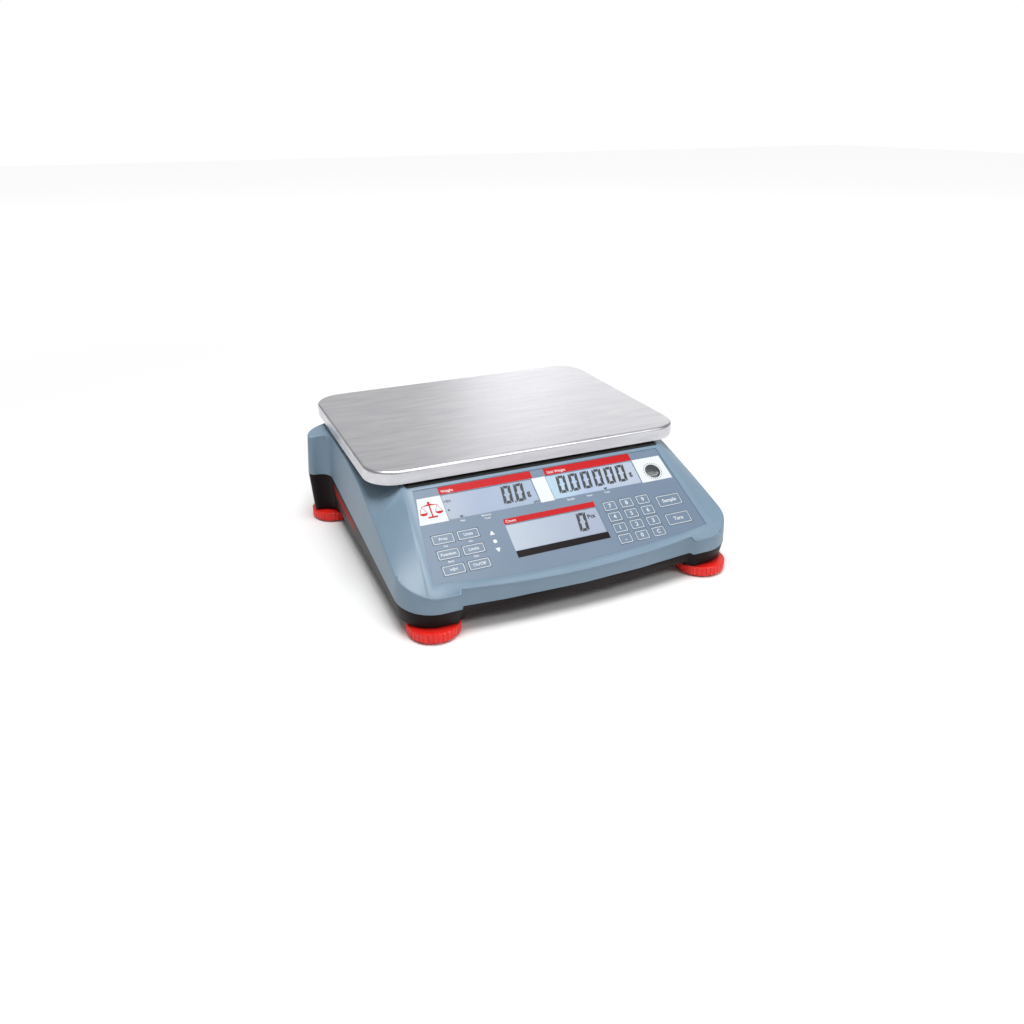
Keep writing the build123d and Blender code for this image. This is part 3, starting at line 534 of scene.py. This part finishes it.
def curveMesh(data, place):
    holder = placed("holder", data)
    mesh = bpy.data.meshes.new_from_object(holder.evaluated_get(bpy.context.evaluated_depsgraph_get()))
    bpy.data.objects.remove(holder)
    bpy.data.curves.remove(data)
    mesh.transform(place)
    return mesh


def flatShape(loops, thickness, lift=0.0):
    data = bpy.data.curves.new("shape", "CURVE")
    data.dimensions, data.fill_mode, data.extrude = "2D", "BOTH", thickness / 2
    for loop in loops:
        spline = data.splines.new("POLY")
        spline.points.add(len(loop) - 1)
        for point, (u, v) in zip(spline.points, loop):
            point.co = (u, v, 0, 1)
        spline.use_cyclic_u = True
    return curveMesh(data, Matrix.Translation((0, 0, lift + thickness / 2)))


def lettering(text, u, v, size, thickness, lift=0.0, align="CENTER", weight=0.014):
    data = bpy.data.curves.new("text", "FONT")
    data.body, data.size, data.extrude, data.resolution_u = text, size, thickness / 2, 3
    data.offset = weight * size
    data.align_x, data.align_y = align, "CENTER"
    return curveMesh(data, Matrix.Translation((u, v, lift + thickness / 2)))


def printedPiece(name, meshes, finish, body="case", place=panelToWorld):
    joined = bmesh.new()
    for mesh in meshes:
        joined.from_mesh(mesh)
        bpy.data.meshes.remove(mesh)
    bmesh.ops.remove_doubles(joined, verts=joined.verts, dist=0.0004)
    bmesh.ops.dissolve_degenerate(joined, edges=joined.edges, dist=0.0002)
    bmesh.ops.recalc_face_normals(joined, faces=joined.faces)
    bmesh.ops.transform(joined, matrix=place, verts=joined.verts)
    mesh = bpy.data.meshes.new(name)
    joined.to_mesh(mesh)
    joined.free()
    return newPiece(name, mesh, finish, body)


# Screen print on the film: bands, headings and small marks. It is twice as thick as real ink,
# so that it reads. A second print lies on the first, a little sunk into it.
ink = {"thickness": 0.05, "fine": 0.07, "second": 0.03, "sunk": 0.01, "headingSize": 3.6, "wordSize": 2.5,
       "answerSize": 2.6, "answerDrop": 2.6, "keyLine": 0.5, "keyCorner": 1.0, "keyInset": 0.25}
thin = ink["thickness"]
onThin = thin - ink["sunk"]
levelRing = {"centre": (102.6, 21.1), "hole": 7.35, "dotCount": 26, "dotRadius": 0.45, "dotSides": 8,
             "radius": 8.7}
bandFoot, bandTop = 10.9, 36.2   # the band that holds the two upper displays
whiteAreas = [
    [[(-116.4, bandTop), (-120.8, bandFoot), (-96.1, bandFoot), (-96.1, bandTop)]],   # behind the emblem
    [corners(-12.9, bandFoot, 0.0, bandTop)],                                          # between the displays
    [[(87.4, bandFoot), (118.3, bandFoot), (116.0, bandTop), (87.4, bandTop)],         # round the level
     disc(*levelRing["centre"], levelRing["hole"])],
]
printedPiece("print_white_areas", [flatShape(loops, thin) for loops in whiteAreas], "inkWhite")

headings = {
    "weight": {"bar": (-96.1, 36.7, -11.4, 44.2), "text": "Weight", "at": (-94.4, 39.4)},
    "unitWeight": {"bar": (1.0, 36.7, 87.3, 44.2), "text": "Unit Weight", "at": (3.3, 39.4)},
    "count": {"bar": (-51.9, -3.1, 33.1, 2.2), "text": "Count", "at": (-50.4, -0.5)},
}
printedPiece("print_red_bars", [flatShape([corners(*item["bar"])], thin) for item in headings.values()],
             "inkRed")
printedPiece("print_black_strip", [flatShape([corners(-51.6, -35.4, 33.6, -29.2)], thin)], "inkBlack")
smallWords = [("Net", -85.0, 8.6), ("Memory", -64.0, 9.4), ("Total", -64.0, 6.3),
              ("Sample", 14.4, 8.7), ("Piece", 32.5, 8.7), ("Total", 49.8, 8.7)]
whiteMarks = [lettering(item["text"], *item["at"], ink["headingSize"], ink["second"], onThin, "LEFT")
              for item in headings.values()]
whiteMarks += [lettering(word, u, v, ink["wordSize"], ink["fine"]) for word, u, v in smallWords]

# Scroll marks beside the lower display: an arrow up, a dot and an arrow down
scroll = {"u": -65.3, "up": -8.5, "dot": -16.3, "down": -24.2, "dotRadius": 1.75,
          "base": 2.2, "tip": 0.5, "baseDrop": 1.6, "tipRise": 2.0}


def scrollArrow(v, way):
    u, baseV, tipV = scroll["u"], v - way * scroll["baseDrop"], v + way * scroll["tipRise"]
    return flatShape([[(u - scroll["base"], baseV), (u + scroll["base"], baseV),
                       (u + scroll["tip"], tipV), (u - scroll["tip"], tipV)]], ink["fine"])


whiteMarks += [scrollArrow(scroll["up"], 1),
               flatShape([disc(scroll["u"], scroll["dot"], scroll["dotRadius"])], ink["fine"]),
               scrollArrow(scroll["down"], -1)]

# Emblem: a plain balance, with a post, a beam and two hung bowls
emblem = {"u": -107.8, "v": 24.0, "span": 7.2, "bowl": 3.3, "bowlDepth": 2.6, "arcSteps": 12, "cord": 0.5,
          "layer": 0.001}   # each shape lies this much above the last, so that none share a face
eu, ev, span, bowl = emblem["u"], emblem["v"], emblem["span"], emblem["bowl"]
emblemShapes = [
    [corners(eu - 0.6, ev - 6.6, eu + 0.6, ev + 6.4)],                                               # post
    [rounded(eu - 4.2, ev - 7.8, eu + 4.2, ev - 6.2, 0.6)],                                          # foot
    [[(eu - span, ev + 4.2), (eu + span, ev + 4.2), (eu + 0.7, ev + 6.0), (eu - 0.7, ev + 6.0)]],   # beam
    [disc(eu, ev + 7.0, 1.2)],                                                                       # knob
]
for side in (-1, 1):
    hang = eu + side * (span - 0.6)
    angles = [math.pi * step / emblem["arcSteps"] for step in range(emblem["arcSteps"] + 1)]
    emblemShapes.append([[(hang - bowl * math.cos(angle), ev - 2.2 - emblem["bowlDepth"] * math.sin(angle))
                          for angle in angles]])
    for start in (hang - bowl + 0.1, hang + bowl - 0.6):   # the two cords that hold the bowl
        emblemShapes.append([[(start, ev - 2.0), (start + emblem["cord"], ev - 2.0),
                              (hang + 0.2, ev + 4.3), (hang - 0.2, ev + 4.3)]])
printedPiece("print_emblem", [flatShape(loops, ink["second"], onThin + emblem["layer"] * index)
                              for index, loops in enumerate(emblemShapes)], "inkRed")

# Keys: a thin rounded outline and a legend on each, riding with its own patch of film
legends = {"print": "Print", "units": "Units", "function": "Function", "limits": "Limits", "zero": ">0<",
           "power": "On/Off", "point": ".", "clear": "C", "sample": "Sample", "tare": "Tare"}
legends.update({str(digit): str(digit) for digit in range(10)})
legendSizes = {"figure": 5.6, "word": 3.7, "zero": 4.2, "point": 8.0, "clear": 5.4, "sample": 5.0,
               "tare": 5.0}
pointRise = 0.9   # the decimal point stands this much above its line
keyBoxes = {}
for key, legend in legends.items():
    u0, v0, w0, u1, v1, w1 = panelBox("key_" + key)
    keyBoxes[key] = (u0, v0, u1, v1)
    inset = ink["keyInset"]
    size = legendSizes.get(key, legendSizes["figure" if len(legend) == 1 else "word"])
    rise = pointRise if key == "point" else 0.0
    printedPiece("legend_" + key, [
        flatShape(outline(u0 + inset, v0 + inset, u1 - inset, v1 - inset, ink["keyCorner"], ink["keyLine"]),
                  ink["fine"], w1),
        lettering(legend, (u0 + u1) / 2, (v0 + v1) / 2 + rise, size, ink["fine"], w1)],
        "inkWhite", "key_" + key + "_patch")

# The left block of keys has an answer printed under each of its upper four
leftBoxes = [keyBoxes[key] for key in ("print", "units", "function", "limits", "zero", "power")]
leftColumns = sorted({round((u0 + u1) / 2, 1) for u0, v0, u1, v1 in leftBoxes})
leftRows = sorted({round(v0, 1) for u0, v0, u1, v1 in leftBoxes})
for word, column, row in (("Yes", 0, 2), ("No", 1, 2), ("Back", 0, 1), ("Exit", 1, 1)):
    whiteMarks.append(lettering(word, leftColumns[column], leftRows[row] - ink["answerDrop"],
                                ink["answerSize"], ink["fine"]))
printedPiece("print_white_marks", whiteMarks, "inkWhite")
print("panel printed, keys:", len(keyBoxes))


# Geometry Nodes: one tree sets a shape in a row, the other in a ring
def repeatTree(name, ring):
    tree, given = newTree(name, {
        "Shape": "Object", "Count": "Int", "Step": "Vector", "Radius": "Float", "Finish": "Material"})
    if ring:
        points = addNode(tree, "GeometryNodeMeshCircle", (-650, 100), inputs={
            "Vertices": given["Count"], "Radius": given["Radius"]})
    else:
        points = addNode(tree, "GeometryNodeMeshLine", (-650, 100), inputs={
            "Count": given["Count"], "Offset": given["Step"]})
    shape = addNode(tree, "GeometryNodeObjectInfo", (-650, -150), inputs={"Object": given["Shape"]})
    copies = addNode(tree, "GeometryNodeInstanceOnPoints", (-400, 0), inputs={
        "Points": points.outputs["Mesh"], "Instance": shape.outputs["Geometry"]})
    return endTree(tree, copies.outputs["Instances"], given["Finish"])


rowTree, ringTree = repeatTree("shapes in a row", False), repeatTree("shapes in a ring", True)


def repeated(tree, mesh, values):
    shape = placed("shape", mesh)
    made = evaluatedMesh(bpy.data.meshes.new("holder"), tree, {**values, "Shape": shape})
    bpy.data.objects.remove(shape)
    return made


# Figures: seven-segment zeros, the outer six bars lit, leaning a little to the right.
# A bar's end is mitred: its inner corner stops short by a share of the bar's width, or by all of it
# at the foot and the head. Its middle point stands past the end, or is cut back there.
figure = {"height": 18.0, "width": 8.8, "bar": 2.8, "gap": 0.1, "lean": 0.14, "thickness": 0.02,
          "mitre": 0.55, "past": 0.25, "cut": 0.6, "footRise": 0.2, "dot": 0.85, "dotSides": 20}


def zeroLoops():
    h, w, b, g = figure["height"], figure["width"], figure["bar"], figure["gap"]
    mitre, past, cut, rise = figure["mitre"], figure["past"], figure["cut"], figure["footRise"]
    middle, bars = h / 2, []
    for lower, foot, head in ((True, 0.0, middle), (False, middle, h)):
        for side in (0, 1):
            outer, core, inner = side * w, abs(side * w - b / 2), abs(side * w - b)
            bars.append([(outer, foot + g + (rise if lower else 0.0)), (outer, head - g),
                         (core, head - g + (past if lower else -cut)),
                         (inner, head - g - b * (mitre if lower else 1.0)),
                         (inner, foot + g + b * (1.0 if lower else mitre)),
                         (core, foot + g + (rise + cut if lower else -past))])
    for base, inner in ((0.0, b), (h, h - b)):
        bars.append([(b * mitre + g, base), (w - b * mitre - g, base), (w - b - g, inner), (b + g, inner)])
    return [[(u + v * figure["lean"], v) for u, v in loop] for loop in bars]


def zeroMesh():
    data = bmesh.new()
    for loop in zeroLoops():
        part = flatShape([loop], figure["thickness"])
        data.from_mesh(part)
        bpy.data.meshes.remove(part)
    mesh = bpy.data.meshes.new("zero")
    data.to_mesh(mesh)
    data.free()
    return mesh


# What each display shows: a row of zeros, its unit, decimal points, pointers down to a word, and signs
displays = {
    "weight": {"start": (-45.0, 16.4), "count": 2, "step": 11.6, "unit": ("g", -20.3, 23.0, 7.4),
               "dots": [(-34.3, 16.9, figure["dot"])], "pointers": [(-84.4, 12.6)],
               "signs": [("pcs", -16.4, 13.6, 3.4), (">0<", -91.6, 29.5, 4.0)],
               "lamps": [(-93.0, 21.0, 1.0)]},
    "unit_weight": {"start": (7.2, 16.4), "count": 6, "step": 11.8, "unit": ("g", 80.2, 23.2, 6.6),
                    "dots": [(18.0, 16.9, figure["dot"])], "pointers": [(50.3, 12.6)],
                    "signs": [], "lamps": []},
    "count": {"start": (10.0, -24.0), "count": 1, "step": 11.6, "unit": ("Pcs", 25.4, -11.2, 5.4),
              "dots": [], "pointers": [], "signs": [], "lamps": []},
}
pointer = [(-1.9, 1.3), (0.0, -1.1), (1.9, 1.3)]
for name, display in displays.items():
    glassTop = panelBox("lcd_" + name)[5]
    row = repeated(rowTree, zeroMesh(), {"Count": display["count"], "Step": (display["step"], 0.0, 0.0),
                                         "Finish": finishes["segment"]})
    row.transform(Matrix.Translation((*display["start"], glassTop)))
    loops = [disc(*spot, figure["dotSides"]) for spot in display["dots"]]
    loops += [[(u + du, v + dv) for du, dv in pointer] for u, v in display["pointers"]]
    loops += [disc(*spot, figure["dotSides"]) for spot in display["lamps"]]
    marks = [row, lettering(*display["unit"], figure["thickness"], glassTop, weight=0.04)]
    marks += [flatShape([loop], figure["thickness"], glassTop) for loop in loops]
    marks += [lettering(*sign, figure["thickness"], glassTop, weight=0.03) for sign in display["signs"]]
    printedPiece("figures_" + name, marks, "segment")

# Dotted ring printed round the level
ringDot = flatShape([disc(0, 0, levelRing["dotRadius"], levelRing["dotSides"])], ink["second"])
ringMesh = repeated(ringTree, ringDot, {
    "Count": levelRing["dotCount"], "Radius": levelRing["radius"], "Finish": finishes["inkBlack"]})
ringMesh.transform(Matrix.Translation((*levelRing["centre"], onThin)))
printedPiece("print_level_ring", [ringMesh], "inkBlack")
print("displays and level ring printed")

# Accent dashes on both sides of the base: slanted bars in a row, dropped sideways onto the moulding
accent = {"start": (-2.0, 26.8), "count": 15, "pitch": 5.4, "rise": 0.3, "height": 11.2, "width": 3.4,
          "slant": 2.6, "thickness": 0.3, "sunk": 0.05, "castFrom": 300}
bpy.context.view_layer.update()
for side, sideName in ((-1, "left"), (1, "right")):
    dash = flatShape([corners(0, 0, accent["width"], accent["height"], accent["slant"])],
                     accent["thickness"])
    dashes = repeated(rowTree, dash, {
        "Count": accent["count"], "Step": (accent["pitch"], accent["rise"], 0.0),
        "Finish": finishes["inkRed"]})
    outwards = Vector((side, 0, 0))
    for vertex in dashes.vertices:
        along, rise, depth = vertex.co
        y, z = (accent["start"][0] + along) * mm, (accent["start"][1] + rise) * mm
        hit, spot, normal, index = baseShell.ray_cast(
            outwards * accent["castFrom"] * mm + Vector((0, y, z)), -outwards)
        vertex.co = spot + outwards * (depth - accent["sunk"]) * mm
    printedPiece("accent_dashes_" + sideName, [dashes], "inkRed",
                 place=Matrix.Identity(4))
print("accent dashes laid")

# Painted shade: a soft black sheet on the deck behind the keypad's crest, put where the front of the pan
# casts deep shade into the gap below it
paintedShadeStrip = {"halfWidth": 121.0, "front": -67.2, "back": -56.0, "corner": 1.5, "thickness": 0.8, "sunk": 0.05}
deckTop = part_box("upper_housing")[1].z
shadeStripLoop = rounded(-paintedShadeStrip["halfWidth"], paintedShadeStrip["front"], paintedShadeStrip["halfWidth"], paintedShadeStrip["back"],
                    paintedShadeStrip["corner"])
# This black piece is painted shadow under the pan's front edge, not a real seal
printedPiece("pan_gap_strip", [flatShape([shadeStripLoop], paintedShadeStrip["thickness"], -paintedShadeStrip["sunk"])], "rubber",
             place=Matrix.Translation((0, 0, deckTop)) @ Matrix.Scale(mm, 4))
print("gap strip laid")

# Camera: a little left of the centre line and above, looking down at the keypad
cameraSetting = {"spot": (-0.28951, -0.67045, 0.37362), "yaw": 23.57, "pitch": 26.02, "roll": 0.28,
                 "lens": 29.05, "sensor": 36.0}
yaw, pitch, roll = (math.radians(cameraSetting[key]) for key in ("yaw", "pitch", "roll"))
forward = Vector((math.sin(yaw) * math.cos(pitch), math.cos(yaw) * math.cos(pitch), -math.sin(pitch)))
sideways = Vector((math.cos(yaw), -math.sin(yaw), 0.0))
above = sideways.cross(forward)
right = sideways * math.cos(roll) - above * math.sin(roll)
up = sideways * math.sin(roll) + above * math.cos(roll)
camera = placed("camera", bpy.data.cameras.new("camera"))
camera.matrix_world = Matrix.Translation(cameraSetting["spot"]) @ Matrix(
    (right, up, -forward)).transposed().to_4x4()
camera.data.lens, camera.data.sensor_width = cameraSetting["lens"], cameraSetting["sensor"]
bpy.context.scene.camera = camera
print("camera set")

# Studio: a pale floor, a soft lamp overhead, a weaker one in front on the right, two panels behind for
# the pan to mirror, and a faint even fill. The surround looks white, but lights the object less,
# so that the shadows under the pan stay deep.
studio = {
    "floorSize": 14.0, "floorDark": "f1f1f1", "floorLight": "f4f4f4", "fibreMm": 2.0, "fillStrength": 0.30,
    "glowFrom": 0.5, "glowTo": 2.2, "glow": 0.68,   # the far floor is lit evenly, out to its edge
    "lights": [
        {"name": "overhead", "spot": (-0.1, -0.12, 1.9), "size": (0.9, 0.9), "power": 34},
        {"name": "front", "spot": (0.75, -1.35, 1.35), "size": (0.8, 0.5), "power": 10},
        {"name": "panelRight", "spot": (1.6, 2.0, 0.75), "size": (1.8, 1.1), "power": 7.5},
        {"name": "panelBack", "spot": (0.3, 2.7, 1.0), "size": (2.2, 1.0), "power": 3.6},
    ],
}
floorMesh = bpy.data.meshes.new("floor")
half = studio["floorSize"] / 2
floorMesh.from_pydata([(u, v, 0) for u, v in corners(-half, -half, half, half)], [], [(0, 1, 2, 3)])
floor = placed("floor", floorMesh)
floorMaterial, floorTree, floorShader, floorPosition = newMaterial("matt paper sweep", {"Roughness": 0.9})
fibre = addNode(floorTree, "ShaderNodeTexNoise", (-900, 0), inputs={
    "Vector": floorPosition, "Scale": perMetre(studio["fibreMm"]), "Detail": 2.0})
fibreTone = addNode(floorTree, "ShaderNodeValToRGB", (-600, 0), inputs={"Fac": fibre.outputs["Fac"]},
                    stops=[(0.2, studio["floorDark"]), (0.8, studio["floorLight"])])
floorTree.links.new(fibreTone.outputs["Color"], floorShader.inputs["Base Color"])
reach = addNode(floorTree, "ShaderNodeVectorMath", (-900, -300), {"operation": "LENGTH"}, {
    0: floorPosition})
glow = addNode(floorTree, "ShaderNodeMapRange", (-600, -300), {"interpolation_type": "SMOOTHSTEP"}, {
    "Value": reach.outputs["Value"], "From Min": studio["glowFrom"], "From Max": studio["glowTo"],
    "To Max": studio["glow"]})
floorTree.links.new(glow.outputs["Result"], floorShader.inputs["Emission Strength"])
floorShader.inputs["Emission Color"].default_value = (1.0, 1.0, 1.0, 1.0)
floorMesh.materials.append(floorMaterial)

world = bpy.data.worlds.new("studio")
bpy.context.scene.world = world
world.use_nodes = True
surround = world.node_tree
sight = addNode(surround, "ShaderNodeLightPath", (-600, 300))
seen = addNode(surround, "ShaderNodeMapRange", (-400, 300), inputs={
    "Value": sight.outputs["Is Camera Ray"], "To Min": studio["fillStrength"], "To Max": 1.0})
surround.links.new(seen.outputs["Result"], surround.nodes["Background"].inputs["Strength"])
surround.nodes["Background"].inputs["Color"].default_value = (1.0, 1.0, 1.0, 1.0)
target = (cadBox[0] + cadBox[1]) / 2
for lamp in studio["lights"]:
    data = bpy.data.lights.new(lamp["name"], "AREA")
    data.shape = "RECTANGLE"
    data.size, data.size_y = lamp["size"]
    data.energy = lamp["power"]
    light = placed(lamp["name"], data)
    light.location = lamp["spot"]
    light.rotation_mode = "QUATERNION"
    light.rotation_quaternion = (target - Vector(lamp["spot"])).to_track_quat("-Z", "Y")
bpy.context.scene.view_settings.view_transform = "Standard"
print("studio ready")
